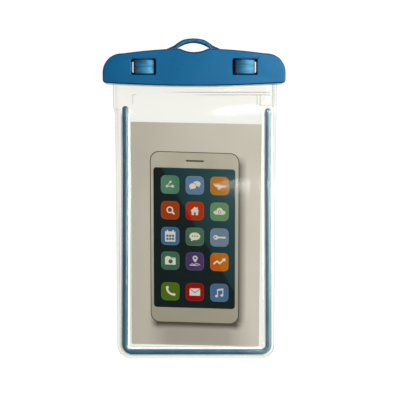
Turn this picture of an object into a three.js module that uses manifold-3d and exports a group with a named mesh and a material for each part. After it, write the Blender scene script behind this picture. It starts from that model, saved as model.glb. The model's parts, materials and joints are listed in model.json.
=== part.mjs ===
import * as THREE from 'three';
import { mergeVertices } from 'three/addons/utils/BufferGeometryUtils.js';
import Module from 'manifold-3d';

// Waterproof phone pouch lying on its back, in millimetres.
// X runs to the right, Y towards the carrying loop and Z out of the front face.

// Overall layout: lengths are measured along Y from the hinge line of the clip.
const bagLength = 206.4;
const loopRise = 11;
const hingeY = (bagLength - loopRise) / 2;
const hingeZ = 6.4;
const bagBottomY = hingeY - bagLength;

// Clip jaws
const clipWidth = 120;
const clipTopRise = 3.2;
const clipBottomDrop = 21.3;
const topBow = 3.4;
const bottomBow = 2;
const topCornerRadius = 12.5;
const bottomCornerRadius = 2.2;
const wall = 1.6;
const backPlate = 1.8;
const backWallTop = 5.8;
const backTopInset = 1;
const backEdgeRound = 0.9;
const frontSkirtBottom = 7.2;
const frontPlateBottom = 10.8;
const frontTop = 12.8;
const frontEdgeRound = 1.3;
const topSkirtBottom = 9;
const ribWidth = 1;
const ribPlaces = [9, 46];

// Carrying loop: a bell-shaped bar round a lens-shaped eye
const loopBar = 3.8;
const loopThickness = 2.8;
const loopFloor = 0.2;
const loopRound = 0.6;
const loopFoot = 19;
const eyeHalfLength = 10.8;
const eyeHalfHeight = 3.3;
const recessGap = 0.2;

// Hinge
const knuckleRadius = 1.7;
const pinRadius = 0.8;
const pinClearance = 0.06;
const knuckleStart = 18.6;
const backKnuckle = 4;
const frontKnuckle = 7.6;
const knuckleGap = 0.3;

// Snap hooks and the windows that they show through
const windowCentre = 33.2;
const windowWidth = 16.2;
const windowHeight = 10.4;
const windowDrop = 8.8;
const windowRadius = 0.7;
const windowChamfer = 0.45;
const hookInnerGap = 1.3;
const hookOuterGap = 1.5;
const hookLowerGap = 0.75;
const hookUpperGap = 0.5;
const hookTop = 12.3;
const hookCrown = 1.5;
const hookThickness = 1.7;
const hookStem = 2.2;
const hookNose = 0.7;
const mouldingGap = 0.4;

// Seal between the jaws
const sealOffset = 2.4;
const sealGroove = 2;
const sealSideGap = 0.1;
const sealBed = 0.8;
const sealBedTop = 5.2;
const grooveFloor = 3.4;
const sealGap = 0.2;
const sealHalfLength = 53;
const pressingRib = 1.4;

// Clear films
const filmThickness = 0.4;
const weldGap = 0.1;
const clampMidZ = 6.5;
const bagMidZ = 2.2;
const riseStartDrop = 85;
const riseLength = 60;
const flangeDrop = 2.4;
const flangeCorner = 3;
const neckHalf = 54.3;
const neckCentre = 0.4;
const bodyHalf = 53.8;
const bodyCentre = 0.95;
const shoulderDrop = 36.3;
const bagCorner = 10;
const flangeHoleGap = 0.7;
const pocketGap = 1;
const sideWeld = 2.6;
const weldLineDrop = 25.7;
const weldLineWidth = 1.7;
const weldLineRise = 0.22;

// Piping sealed between the films
const pipingWidth = 4.2;
const pipingThickness = 3;
const pipingCover = 0.2;
const pipingBottomMargin = 4.9;
const pipingCorner = 5.2;
const pipingTopHalf = 47.8;
const pipingBottomHalf = 49.6;
const pipingCentre = 1.4;
const pipingLeftDrop = 36.6;
const pipingRightDrop = 38.1;

// Insert card
const cardSideGap = 2;
const cardShift = -0.45;
const cardFootGap = 2.4;
const cardTopDrop = 45.3;
const cardThickness = 0.5;
const cardTurn = -0.5;
const cardCorner = 1;

// Places along Y that follow from the sizes above
const bagRiseStart = hingeY - riseStartDrop;
const bagRiseEnd = bagRiseStart + riseLength;
const shoulderY = hingeY - shoulderDrop;
const weldLineY = hingeY - weldLineDrop;
const pipingBottomY = bagBottomY + pipingBottomMargin;
const pipingLeftTopY = hingeY - pipingLeftDrop;
const pipingRightTopY = hingeY - pipingRightDrop;

const clipBlue = new THREE.MeshStandardMaterial({ color: 0x235f92, roughness: 0.32, metalness: 0 });
const clearFilm = new THREE.MeshStandardMaterial({
  color: 0xeef0ea, roughness: 0.18, metalness: 0, transparent: true, opacity: 0.3,
});
const pipingBlue = new THREE.MeshStandardMaterial({ color: 0x3f7fa0, roughness: 0.45, metalness: 0 });
const sealGrey = new THREE.MeshStandardMaterial({ color: 0x6d7276, roughness: 0.8, metalness: 0 });
const pinSteel = new THREE.MeshStandardMaterial({ color: 0xa9adb2, roughness: 0.35, metalness: 1 });
const cardBeige = new THREE.MeshStandardMaterial({ color: 0xbab6a8, roughness: 0.8, metalness: 0 });

// Solids and meshes

function solid(geometry) {
  const bare = geometry.clone();
  bare.deleteAttribute('normal');
  bare.deleteAttribute('uv');
  const merged = mergeVertices(bare, 1e-5);
  return new wasm.Manifold(new wasm.Mesh({
    numProp: 3,
    vertProperties: new Float32Array(merged.attributes.position.array),
    triVerts: new Uint32Array(merged.index.array),
  }));
}

function named(name, body, material) {
  const result = body.getMesh();
  const geometry = new THREE.BufferGeometry();
  geometry.setAttribute('position', new THREE.BufferAttribute(new Float32Array(result.vertProperties), 3));
  geometry.setIndex(new THREE.BufferAttribute(new Uint32Array(result.triVerts), 1));
  geometry.computeVertexNormals();
  const mesh = new THREE.Mesh(geometry, material);
  mesh.name = name;
  return mesh;
}

function box(x0, x1, y0, y1, z0, z1) {
  const block = new THREE.BoxGeometry(Math.abs(x1 - x0), y1 - y0, z1 - z0);
  return solid(block.translate((x0 + x1) / 2, (y0 + y1) / 2, (z0 + z1) / 2));
}

// Round bar along X on the hinge line, from x0 to x1.
function hingeBar(x0, x1, radius) {
  const bar = new THREE.CylinderGeometry(radius, radius, Math.abs(x1 - x0), 24);
  return solid(bar.rotateZ(Math.PI / 2).translate((x0 + x1) / 2, hingeY, hingeZ));
}

function slab(shape, z0, z1) {
  const plate = new THREE.ExtrudeGeometry(shape, { depth: z1 - z0, bevelEnabled: false, curveSegments: 6 });
  return solid(plate.translate(0, 0, z0));
}

// Plate with rounded edges all round on both faces.
function roundedSlab(shape, z0, z1, radius) {
  const plate = new THREE.ExtrudeGeometry(shape, {
    depth: z1 - z0 - 2 * radius,
    bevelThickness: radius,
    bevelSize: radius,
    bevelOffset: -radius,
    bevelSegments: 4,
    curveSegments: 6,
  });
  return solid(plate.translate(0, 0, z0 + radius));
}

function roundedRectangle(x0, x1, y0, y1, radius) {
  const left = Math.min(x0, x1);
  const right = Math.max(x0, x1);
  const shape = new THREE.Shape();
  shape.absarc(right - radius, y0 + radius, radius, -Math.PI / 2, 0);
  shape.absarc(right - radius, y1 - radius, radius, 0, Math.PI / 2);
  shape.absarc(left + radius, y1 - radius, radius, Math.PI / 2, Math.PI);
  shape.absarc(left + radius, y0 + radius, radius, Math.PI, 1.5 * Math.PI);
  return shape;
}

// Outline of the clip

const bowHalf = clipWidth / 2 - topCornerRadius;

function topEdge(x) {
  return hingeY + clipTopRise - topBow * (x / bowHalf) ** 2;
}

function bottomEdge(x) {
  return hingeY - clipBottomDrop + bottomBow * (x / (clipWidth / 2)) ** 2;
}

// The jaw outline drawn in by an inset on all sides, and by a further drop on its top edge.
function jawOutline(inset, topInset) {
  const half = clipWidth / 2 - inset;
  const upper = topCornerRadius - inset;
  const lower = Math.max(bottomCornerRadius - inset, 0.5);
  const slope = 2 * topBow / bowHalf;
  const lean = Math.atan(slope);
  const points = [];
  const addSide = (side) => {
    const run = [];
    for (let step = 0; step <= 5; step += 1) {
      const turn = (step / 5) * Math.PI / 2;
      const x = half - lower + lower * Math.sin(turn);
      const base = bottomEdge(half - lower) + inset + lower;
      run.push([x, base - lower * Math.cos(turn)]);
    }
    const top = topEdge(half - upper) - inset - topInset;
    for (let step = 0; step <= 10; step += 1) {
      const turn = (step / 10) * (Math.PI / 2 - lean);
      run.push([half - upper + upper * Math.cos(turn), top - upper * Math.cos(lean) + upper * Math.sin(turn)]);
    }
    const lastX = run[run.length - 1][0];
    for (let step = 1; step < 12; step += 1) {
      const x = lastX * (1 - step / 12);
      run.push([x, topEdge(x) - inset - topInset]);
    }
    return side > 0 ? run : run.map(([x, y]) => [-x, y]).reverse();
  };
  points.push(...addSide(1), ...addSide(-1));
  for (let step = 1; step < 24; step += 1) {
    const x = (half - lower) * (step / 12 - 1);
    points.push([x, bottomEdge(x) + inset]);
  }
  return new THREE.Shape(points.map(([x, y]) => new THREE.Vector2(x, y)));
}

// Strip that keeps a constant distance from the bowed bottom edge of the clip.
function bowedStrip(from, to, half) {
  const points = [];
  for (let step = 0; step <= 16; step += 1) {
    const x = half * (step / 8 - 1);
    points.push(new THREE.Vector2(x, bottomEdge(x) + from));
  }
  for (let step = 16; step >= 0; step -= 1) {
    const x = half * (step / 8 - 1);
    points.push(new THREE.Vector2(x, bottomEdge(x) + to));
  }
  return new THREE.Shape(points);
}

// The eye's two edges are arcs of one radius that meet in points at its ends.
const eyeRadius = (eyeHalfLength ** 2 + eyeHalfHeight ** 2) / (2 * eyeHalfHeight);
const eyeY = hingeY + loopRise - loopBar - eyeHalfHeight;

// Upright cutter that hollows the top edge of a jaw under the eye.
function recessCutter(extra) {
  const radius = eyeRadius + extra;
  const cutter = new THREE.CylinderGeometry(radius, radius, 10 * frontTop, 96);
  return solid(cutter.rotateX(Math.PI / 2).translate(0, eyeY - eyeHalfHeight + eyeRadius, 0));
}

// Window, hook and film opening of one side

const windowY0 = hingeY - windowDrop - windowHeight / 2;
const windowY1 = windowY0 + windowHeight;
const windowInner = windowCentre - windowWidth / 2;
const windowOuter = windowCentre + windowWidth / 2;
const hookInner = windowInner + hookInnerGap;
const hookOuter = windowOuter - hookOuterGap;
const hookY0 = windowY0 + hookLowerGap;
const hookY1 = windowY1 - hookUpperGap;
const mouldingY0 = hookY0 - mouldingGap;
const mouldingY1 = hookY1 + mouldingGap;

function windowCutter(side) {
  const shape = roundedRectangle(side * windowInner, side * windowOuter, windowY0, windowY1, windowRadius);
  const flare = new THREE.ExtrudeGeometry(shape, {
    depth: 1,
    bevelThickness: windowChamfer,
    bevelSize: windowChamfer,
    bevelSegments: 1,
    curveSegments: 6,
  });
  return slab(shape, frontSkirtBottom, frontTop).add(solid(flare.translate(0, 0, frontTop)));
}

function hook(side) {
  const half = (hookOuter - hookInner) / 2;
  const centre = side * (hookInner + half);
  const radius = (half ** 2 + hookCrown ** 2) / (2 * hookCrown);
  const reach = Math.asin(half / radius);
  const profile = new THREE.Shape();
  const inner = side * hookInner;
  const stem = side * (hookInner + hookStem);
  const outer = side * hookOuter;
  const nose = hookTop - hookCrown - hookThickness - hookNose;
  profile.moveTo(inner, backPlate / 2);
  for (let step = 0; step <= 12; step += 1) {
    const turn = reach * (step / 6 - 1);
    profile.lineTo(centre + side * radius * Math.sin(turn), hookTop - radius * (1 - Math.cos(turn)));
  }
  profile.lineTo(outer, nose + 0.3);
  profile.lineTo(outer - side * 0.3, nose);
  profile.lineTo(outer - side * 0.9, nose);
  profile.lineTo(outer - side * 1.6, nose + hookNose);
  for (let step = 1; step <= 6; step += 1) {
    const turn = reach * (1 - step / 5) * 0.72;
    const x = centre + side * (radius - hookThickness) * Math.sin(turn);
    profile.lineTo(x, hookTop - hookThickness - (radius - hookThickness) * (1 - Math.cos(turn)));
  }
  profile.lineTo(stem, hookTop - hookCrown - hookThickness - 0.9);
  profile.lineTo(stem, backPlate / 2);
  const round = 0.45;
  const body = new THREE.ExtrudeGeometry(profile, {
    depth: hookY1 - hookY0 - 2 * round,
    bevelThickness: round,
    bevelSize: round,
    bevelOffset: -round,
    bevelSegments: 3,
  });
  return solid(body.rotateX(Math.PI / 2).translate(0, hookY1 - round, 0));
}

// Clip jaws

const backBarStart = knuckleStart + backKnuckle + knuckleGap;
const backBarEnd = backBarStart + frontKnuckle + knuckleGap;
const knuckleEnd = backBarEnd + backKnuckle;
const holeRadius = pinRadius + pinClearance;
const sealY0 = sealOffset;
const sealY1 = sealOffset + sealGroove;
const clipRoom = clipWidth / 2 - wall;
const wholeClip = [-clipWidth, clipWidth, hingeY - 2 * clipBottomDrop, hingeY + 2 * clipBottomDrop];

function backJaw() {
  let jaw = roundedSlab(jawOutline(0, backTopInset), 0, 2 * backWallTop, backEdgeRound);
  jaw = jaw.subtract(box(...wholeClip, backWallTop, 3 * backWallTop));
  let room = slab(jawOutline(wall, backTopInset), backPlate, 2 * backWallTop);
  room = room.subtract(recessCutter(recessGap + wall));
  jaw = jaw.subtract(room);
  const bed = slab(bowedStrip(wall / 2, sealY1 + sealBed, clipRoom), backPlate / 2, sealBedTop);
  const groove = slab(bowedStrip(sealY0, sealY1, sealHalfLength), grooveFloor, 2 * sealBedTop);
  jaw = jaw.add(bed).subtract(groove);
  const ribStart = bottomEdge(ribPlaces[1]) + sealY1;
  for (const place of [...ribPlaces, ...ribPlaces.map((x) => -x)]) {
    const ribEnd = topEdge(place) - backTopInset - wall / 2;
    jaw = jaw.add(box(place - ribWidth / 2, place + ribWidth / 2, ribStart, ribEnd, backPlate / 2, 4));
  }
  jaw = jaw.subtract(recessCutter(recessGap));
  for (const side of [-1, 1]) {
    const notch = [side * (backBarStart - knuckleGap), side * backBarEnd];
    const notchFloor = hingeZ - knuckleRadius - 0.8;
    jaw = jaw.subtract(box(...notch, hingeY - knuckleRadius - 0.4, hingeY + 9, notchFloor, 3 * backWallTop));
    for (const start of [knuckleStart, backBarEnd]) {
      const ends = [side * start, side * (start + backKnuckle)];
      jaw = jaw.add(box(...ends, hingeY - knuckleRadius, hingeY + knuckleRadius - 0.2, backPlate / 2, hingeZ));
      jaw = jaw.add(hingeBar(...ends, knuckleRadius));
    }
    jaw = jaw.subtract(hingeBar(side * (knuckleStart - 1), side * (knuckleEnd + 1), holeRadius));
    const holeStart = side * (hookInner + hookStem + 1.1);
    const hole = roundedRectangle(holeStart, side * windowOuter, mouldingY0, mouldingY1, windowRadius);
    jaw = jaw.subtract(slab(hole, -1, backPlate + 1));
    jaw = jaw.add(hook(side));
  }
  return jaw.add(loop());
}

// Bar of the carrying loop: a bell-shaped plate, rounded all round, with the eye cut through it.
function loop() {
  const crown = hingeY + loopRise;
  const foot = eyeY - eyeHalfHeight - loopBar - loopRound;
  const flank = [[0.95, -7.3], [0.8, -6.4], [0.6, -4], [0.41, -2], [0.22, -0.55]];
  const outer = [
    ...flank.map(([part, drop]) => new THREE.Vector2(part * loopFoot, crown + drop)),
    new THREE.Vector2(0, crown),
    ...flank.map(([part, drop]) => new THREE.Vector2(-part * loopFoot, crown + drop)).reverse(),
  ];
  const bell = new THREE.SplineCurve(outer).getPoints(44);
  const shape = new THREE.Shape([new THREE.Vector2(-loopFoot, foot), new THREE.Vector2(loopFoot, foot), ...bell]);
  const eye = [];
  for (let step = 0; step < 32; step += 1) {
    const along = 1 - 2 * Math.abs(step / 16 - 1);
    const height = Math.sqrt(eyeRadius ** 2 - (along * eyeHalfLength) ** 2) - eyeRadius + eyeHalfHeight;
    eye.push(new THREE.Vector2(along * eyeHalfLength, eyeY + Math.sign(step - 16) * height));
  }
  const bar = roundedSlab(shape, loopFloor, loopFloor + loopThickness, loopRound);
  return bar.subtract(slab(new THREE.Shape(eye), -1, loopThickness + 1));
}

function frontJaw() {
  let jaw = roundedSlab(jawOutline(0, 0), frontSkirtBottom - 6, frontTop, frontEdgeRound);
  const below = hingeZ - 20;
  jaw = jaw.subtract(box(...wholeClip, below, frontSkirtBottom));
  let room = slab(jawOutline(wall, 0), frontSkirtBottom - 1, frontPlateBottom);
  room = room.subtract(recessCutter(wall));
  jaw = jaw.subtract(room);
  const ribShape = bowedStrip(sealY0 + (sealGroove - pressingRib) / 2, sealY1 - (sealGroove - pressingRib) / 2,
    sealHalfLength - 1);
  jaw = jaw.add(slab(ribShape, frontSkirtBottom, frontPlateBottom + 1));
  const ribStart = bottomEdge(ribPlaces[1]) + sealY1 - 0.5;
  for (const place of [...ribPlaces, ...ribPlaces.map((x) => -x)]) {
    const ribEnd = topEdge(place) - wall / 2;
    jaw = jaw.add(box(place - ribWidth / 2, place + ribWidth / 2, ribStart, ribEnd, topSkirtBottom,
      frontPlateBottom + 1));
  }
  const reliefStart = hingeY - knuckleRadius - 0.5;
  jaw = jaw.subtract(box(-clipWidth, clipWidth, reliefStart, wholeClip[3], below, topSkirtBottom));
  jaw = jaw.subtract(recessCutter(0));
  for (const side of [-1, 1]) {
    const ends = [side * backBarStart, side * (backBarStart + frontKnuckle)];
    jaw = jaw.subtract(windowCutter(side));
    jaw = jaw.add(box(...ends, hingeY - knuckleRadius, hingeY + 1.2, hingeZ, frontPlateBottom + 1));
    jaw = jaw.add(hingeBar(...ends, knuckleRadius));
    jaw = jaw.subtract(hingeBar(side * (knuckleStart - 1), side * (knuckleEnd + 1), holeRadius));
  }
  return jaw;
}

function hingePin(side) {
  return hingeBar(side * (knuckleStart - 0.3), side * (knuckleEnd + 0.3), pinRadius);
}

function sealStrip() {
  const top = clampMidZ - weldGap / 2 - filmThickness - sealGap;
  const shape = bowedStrip(sealY0 + sealSideGap, sealY1 - sealSideGap, sealHalfLength - 0.4);
  return slab(shape, grooveFloor + 0.02, top);
}

// Middle plane between the two films: low in the bag, rising to the clamped flange.
function middle(y) {
  return THREE.MathUtils.lerp(bagMidZ, clampMidZ, THREE.MathUtils.smoothstep(y, bagRiseStart, bagRiseEnd));
}

// Centre line of the piping: x of its left and right runs at a height y.
function pipingHalf(y) {
  const part = THREE.MathUtils.clamp((pipingLeftTopY - y) / (pipingLeftTopY - pipingBottomY), 0, 1);
  return THREE.MathUtils.lerp(pipingTopHalf, pipingBottomHalf, part);
}

// Distance from the piping's centre line, seen from above.
function pipingDistance(x, y) {
  const side = x < pipingCentre ? -1 : 1;
  const topY = side < 0 ? pipingLeftTopY : pipingRightTopY;
  const bendY = pipingBottomY + pipingCorner;
  const across = Math.abs(x - pipingCentre);
  const bendX = pipingBottomHalf - pipingCorner;
  if (y > bendY) {
    return Math.min(Math.hypot(across - pipingHalf(y), Math.max(y - topY, 0)), y - pipingBottomY);
  }
  if (across < bendX) {
    return Math.abs(y - pipingBottomY);
  }
  return Math.abs(Math.hypot(across - bendX, y - bendY) - pipingCorner);
}

// Half the space between the films at a point: round the piping, over the card and at the welds.
function spaceBetween(x, y) {
  const cover = pipingThickness / 2 + pipingCover;
  const away = pipingDistance(x, y);
  const ridge = cover * (1 - THREE.MathUtils.smoothstep(away, 0.33 * pipingWidth, 0.8 * pipingWidth));
  const across = Math.abs(x - pipingCentre);
  const inside = Math.min(pipingHalf(y) - across, y - pipingBottomY);
  const aboveEnds = THREE.MathUtils.smoothstep(y, shoulderY, weldLineY);
  const side = THREE.MathUtils.lerp(inside, neckHalf - sideWeld - Math.abs(x - neckCentre), aboveEnds);
  const pocket = pocketGap / 2 * THREE.MathUtils.smoothstep(side, 0, 5);
  const open = pocket * (1 - THREE.MathUtils.smoothstep(y, weldLineY + 1, hingeY - clipBottomDrop + 1));
  return Math.max(weldGap / 2 + open, ridge);
}

function embossed(y) {
  return Math.abs(Math.abs(y - weldLineY) - weldLineWidth / 2) < 0.3 ? weldLineRise : 0;
}

const columnOffsets = [-3.4, -2.4, -1.4, 0, 1.4, 2.4, 3.4, 4.8, 6.6];
const columns = [
  [0, -13],
  [0, -5.4],
  ...columnOffsets.map((offset) => [0, offset]),
  ...[0.15, 0.3, 0.5, 0.7, 0.85].map((part) => [part, 0]),
  ...columnOffsets.map((offset) => [1, -offset]).reverse(),
  [1, 5.4],
  [1, 13],
];
const rows = [
  ...[-9, -3.4, -2.4, -1.4, 0, 1.4, 2.4, 3.4, 4.8, 6.6, 9].map((offset) => pipingBottomY + offset),
  ...[-73, -33, 0, 8, 16, 23, 30, 37, 43, 47].map((offset) => bagRiseStart + offset),
  ...[-1.6, -0.3, 1, 2.3, 3.6, 5].map((offset) => pipingRightTopY + offset),
  ...[-1.3, -0.9, -0.6, 0.6, 0.9, 1.3].map((offset) => weldLineY + offset),
  bagRiseEnd + 2,
  hingeY - clipBottomDrop + 1,
  hingeY + 2,
];

// Thin layer over the grid of columns and rows; its two faces come from the surface function.
function layer(surface) {
  const block = new THREE.BoxGeometry(1, 1, 1, columns.length - 1, rows.length - 1, 1);
  const place = block.attributes.position;
  for (let i = 0; i < place.count; i += 1) {
    const [part, offset] = columns[Math.round((place.getX(i) + 0.5) * (columns.length - 1))];
    const y = rows[Math.round((place.getY(i) + 0.5) * (rows.length - 1))];
    const x = pipingCentre + pipingHalf(y) * (2 * part - 1) + offset;
    const [low, high] = surface(x, y);
    place.setXYZ(i, x, y, place.getZ(i) > 0 ? high : low);
  }
  return solid(block);
}

function bagOutline() {
  const left = bodyCentre - bodyHalf;
  const right = bodyCentre + bodyHalf;
  const neckLeft = neckCentre - neckHalf;
  const neckRight = neckCentre + neckHalf;
  const top = hingeY - flangeDrop;
  const shape = new THREE.Shape();
  shape.absarc(right - bagCorner, bagBottomY + bagCorner, bagCorner, -Math.PI / 2, 0);
  shape.lineTo(right, shoulderY - 2);
  shape.lineTo(neckRight, shoulderY + 2);
  shape.absarc(neckRight - flangeCorner, top - flangeCorner, flangeCorner, 0, Math.PI / 2);
  shape.absarc(neckLeft + flangeCorner, top - flangeCorner, flangeCorner, Math.PI / 2, Math.PI);
  shape.lineTo(neckLeft, shoulderY + 2);
  shape.lineTo(left, shoulderY - 2);
  shape.absarc(left + bagCorner, bagBottomY + bagCorner, bagCorner, Math.PI, 1.5 * Math.PI);
  for (const side of [-1, 1]) {
    const hole = roundedRectangle(side * (hookInner - flangeHoleGap), side * (windowOuter + 0.3),
      hookY0 - flangeHoleGap, hookY1 + flangeHoleGap, windowRadius);
    shape.holes.push(new THREE.Path(hole.getPoints(6)));
  }
  return shape;
}

function film(surface) {
  return layer(surface).intersect(slab(bagOutline(), -frontTop, 2 * frontTop));
}

function frontFilm() {
  return film((x, y) => {
    const low = middle(y) + spaceBetween(x, y);
    return [low, low + filmThickness + embossed(y)];
  });
}

function backFilm() {
  return film((x, y) => {
    const high = middle(y) - spaceBetween(x, y);
    return [high - filmThickness, high];
  });
}

// Line down the left run, round the two bends and up the right run.
class PipingLine extends THREE.Curve {
  constructor() {
    super();
    this.stations = [];
    const bendY = pipingBottomY + pipingCorner;
    const bendX = pipingBottomHalf - pipingCorner;
    const heights = rows.filter((y) => y > bendY + 1);
    const runOf = (side, topY) => {
      const run = [...heights.filter((y) => y < topY - 1), topY].reverse();
      return run.map((y) => new THREE.Vector3(pipingCentre + side * pipingHalf(y), y, middle(y)));
    };
    const bendOf = (side) => [0, 1, 2, 3, 4, 5, 6].map((step) => {
      const turn = (step / 6) * Math.PI / 2;
      const x = pipingCentre + side * (bendX + pipingCorner * Math.cos(turn));
      return new THREE.Vector3(x, bendY - pipingCorner * Math.sin(turn), middle(bendY));
    });
    this.stations.push(...runOf(-1, pipingLeftTopY), ...bendOf(-1));
    this.stations.push(...bendOf(1).reverse(), ...runOf(1, pipingRightTopY).reverse());
  }

  getPoint(t) {
    const along = t * (this.stations.length - 1);
    const index = Math.min(Math.floor(along), this.stations.length - 2);
    return this.stations[index].clone().lerp(this.stations[index + 1], along - index);
  }

  getTangent(t) {
    const index = Math.round(t * (this.stations.length - 1));
    const before = this.stations[Math.max(index - 1, 0)];
    const after = this.stations[Math.min(index + 1, this.stations.length - 1)];
    const here = this.stations[index];
    const into = here.clone().sub(before).normalize();
    const out = after.clone().sub(here).normalize();
    return into.add(out).normalize();
  }

  getUtoTmapping(u) {
    return u;
  }
}

function piping() {
  const line = new PipingLine();
  const section = new THREE.Shape();
  section.absellipse(0, 0, pipingWidth / 2, pipingThickness / 2, 0, 2 * Math.PI);
  const rod = new THREE.ExtrudeGeometry(section, {
    steps: line.stations.length - 1, extrudePath: line, curveSegments: 8,
  });
  let body = solid(rod);
  for (const end of [line.stations[0], line.stations[line.stations.length - 1]]) {
    const tip = new THREE.SphereGeometry(0.5, 16, 12);
    tip.scale(pipingWidth * 0.99, pipingWidth, pipingThickness * 0.99).translate(end.x, end.y, end.z);
    body = body.add(solid(tip));
  }
  return body;
}

function insertCard() {
  const half = pipingTopHalf - pipingWidth / 2 - cardSideGap;
  const footY = pipingBottomY + pipingWidth / 2 + cardFootGap;
  const centreY = (footY + hingeY - cardTopDrop) / 2;
  const tall = hingeY - cardTopDrop - footY;
  const outline = roundedRectangle(-half, half, -tall / 2, tall / 2, cardCorner);
  const cutter = new THREE.ExtrudeGeometry(outline, { depth: 4 * frontTop, bevelEnabled: false, curveSegments: 3 });
  cutter.rotateZ(THREE.MathUtils.degToRad(cardTurn)).translate(pipingCentre + cardShift, centreY, -frontTop);
  return layer((x, y) => [middle(y) - cardThickness / 2, middle(y) + cardThickness / 2]).intersect(solid(cutter));
}

const wasm = await Module();
wasm.setup();

const pouch = new THREE.Group();
pouch.name = 'waterproof_phone_pouch';
pouch.add(
  named('clip_back_jaw', backJaw(), clipBlue),
  named('clip_front_jaw', frontJaw(), clipBlue),
  named('hinge_pin_left', hingePin(-1), pinSteel),
  named('hinge_pin_right', hingePin(1), pinSteel),
  named('seal_strip', sealStrip(), sealGrey),
  named('film_front', frontFilm(), clearFilm),
  named('film_back', backFilm(), clearFilm),
  named('piping', piping(), pipingBlue),
  named('insert_card', insertCard(), cardBeige),
);

export default pouch;
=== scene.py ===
import json
import math

import bmesh
import bpy
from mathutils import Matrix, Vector, noise


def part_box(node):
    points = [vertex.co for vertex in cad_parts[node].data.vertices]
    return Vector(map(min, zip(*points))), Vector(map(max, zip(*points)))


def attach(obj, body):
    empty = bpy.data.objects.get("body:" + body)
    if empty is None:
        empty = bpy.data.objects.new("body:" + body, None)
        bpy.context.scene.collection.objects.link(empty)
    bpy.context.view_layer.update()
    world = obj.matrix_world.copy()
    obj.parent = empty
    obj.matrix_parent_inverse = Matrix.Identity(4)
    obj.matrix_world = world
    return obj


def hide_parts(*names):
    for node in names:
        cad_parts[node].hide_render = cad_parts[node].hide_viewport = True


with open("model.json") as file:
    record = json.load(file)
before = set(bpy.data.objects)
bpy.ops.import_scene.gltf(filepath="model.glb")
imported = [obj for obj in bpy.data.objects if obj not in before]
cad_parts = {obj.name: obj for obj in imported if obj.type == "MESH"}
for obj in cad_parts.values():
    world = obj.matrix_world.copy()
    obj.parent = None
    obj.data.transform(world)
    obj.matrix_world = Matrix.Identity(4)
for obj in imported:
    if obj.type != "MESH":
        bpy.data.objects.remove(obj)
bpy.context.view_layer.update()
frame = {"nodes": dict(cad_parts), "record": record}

# Places and sizes, in metres. Y runs from the bag's bottom to the loop, Z out of the front.
# The hinge, the bag's ends and the piping's reach come from the frame.
HINGE_Y = frame["record"]["behaviour"]["joints"][0]["pos_m"][1]
BAG_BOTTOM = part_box("film_back")[0].y
FLANGE_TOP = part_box("film_back")[1].y
CLIP_MIDDLE_Z = 0.0065
BAG_MIDDLE_Z = 0.0022
RISE_START = HINGE_Y - 0.085
RISE_END = RISE_START + 0.06
FILM = 0.0004
FILM_IOR = 1.2

PIPING_CENTRE = 0.0017
PIPING_TOP_HALF = 0.0475
PIPING_BOTTOM_HALF = 0.0493
PIPING_WIDTH = 0.0042
PIPING_HEIGHT = 0.003
PIPING_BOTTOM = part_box("piping")[0].y + PIPING_WIDTH / 2
PIPING_LEFT_TOP = HINGE_Y - 0.0361
PIPING_RIGHT_TOP = HINGE_Y - 0.0376
PIPING_BEND = 0.0052

BAG_CENTRE = 0.00095
BAG_HALF = 0.0538
NECK_CENTRE = 0.0004
NECK_HALF = 0.0543
SHOULDER = HINGE_Y - 0.0363
BAG_CORNER = 0.010
SHEET_HALF = 0.054
WELD_LINE = HINGE_Y - 0.0257
SWELL = 0.0004
SWELL_FADE = (0.058, 0.076)
WELD_GAP_HALF = 0.00005
POCKET_HALF = 0.0005
PIPING_ROOM = 0.0002

# Reaches on both sides of the middle: their inner and outer X, and how far below the hinge line they
# start and end.
FILM_OPENINGS = (0.0257, 0.0416, 0.0137, 0.0034)
HOOK_HEADS = (0.0258, 0.0405, 0.0136, 0.0034)
WINDOW_EDGES = (0.0235, 0.0432, 0.0160, 0.0012)
MOULDING_HOLES = (0.0292, 0.042, 0.0138, 0.0035)
HOOK_HEADS_Z = 0.0105
WINDOW_EDGES_Z = 0.0085
MOULDING_HOLES_Z = 0.0066


def smooth(value, low, high):
    part = min(max((value - low) / (high - low), 0.0), 1.0)
    return part * part * (3 - 2 * part)


def blend(a, b, part):
    return a + (b - a) * part


def in_reach(place, reach):
    inner, outer, low, high = reach
    return inner < abs(place.x) < outer and HINGE_Y - low < place.y < HINGE_Y - high


def deselect():
    if bpy.context.object and bpy.context.object.mode != "OBJECT":
        bpy.ops.object.mode_set(mode="OBJECT")
    bpy.ops.object.select_all(action="DESELECT")


def pick(piece):
    deselect()
    piece.select_set(True)
    bpy.context.view_layer.objects.active = piece


def bring_in(name, data):
    """Adds an object with this mesh, light or camera to the scene."""
    newcomer = bpy.data.objects.new(name, data)
    bpy.context.scene.collection.objects.link(newcomer)
    return newcomer


def edit(piece, action):
    """Opens the piece for editing, with all of its mesh selected or none of it."""
    pick(piece)
    bpy.ops.object.mode_set(mode="EDIT")
    bpy.ops.mesh.select_all(action=action)


def settle(piece, name):
    """Puts the piece's place into its mesh and names it."""
    pick(piece)
    bpy.ops.object.transform_apply(location=True, rotation=True, scale=True)
    piece.name = name
    piece.data.name = name
    return piece


def finish_modifiers(piece):
    pick(piece)
    for modifier in list(piece.modifiers):
        bpy.ops.object.modifier_apply(modifier=modifier.name)


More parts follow.
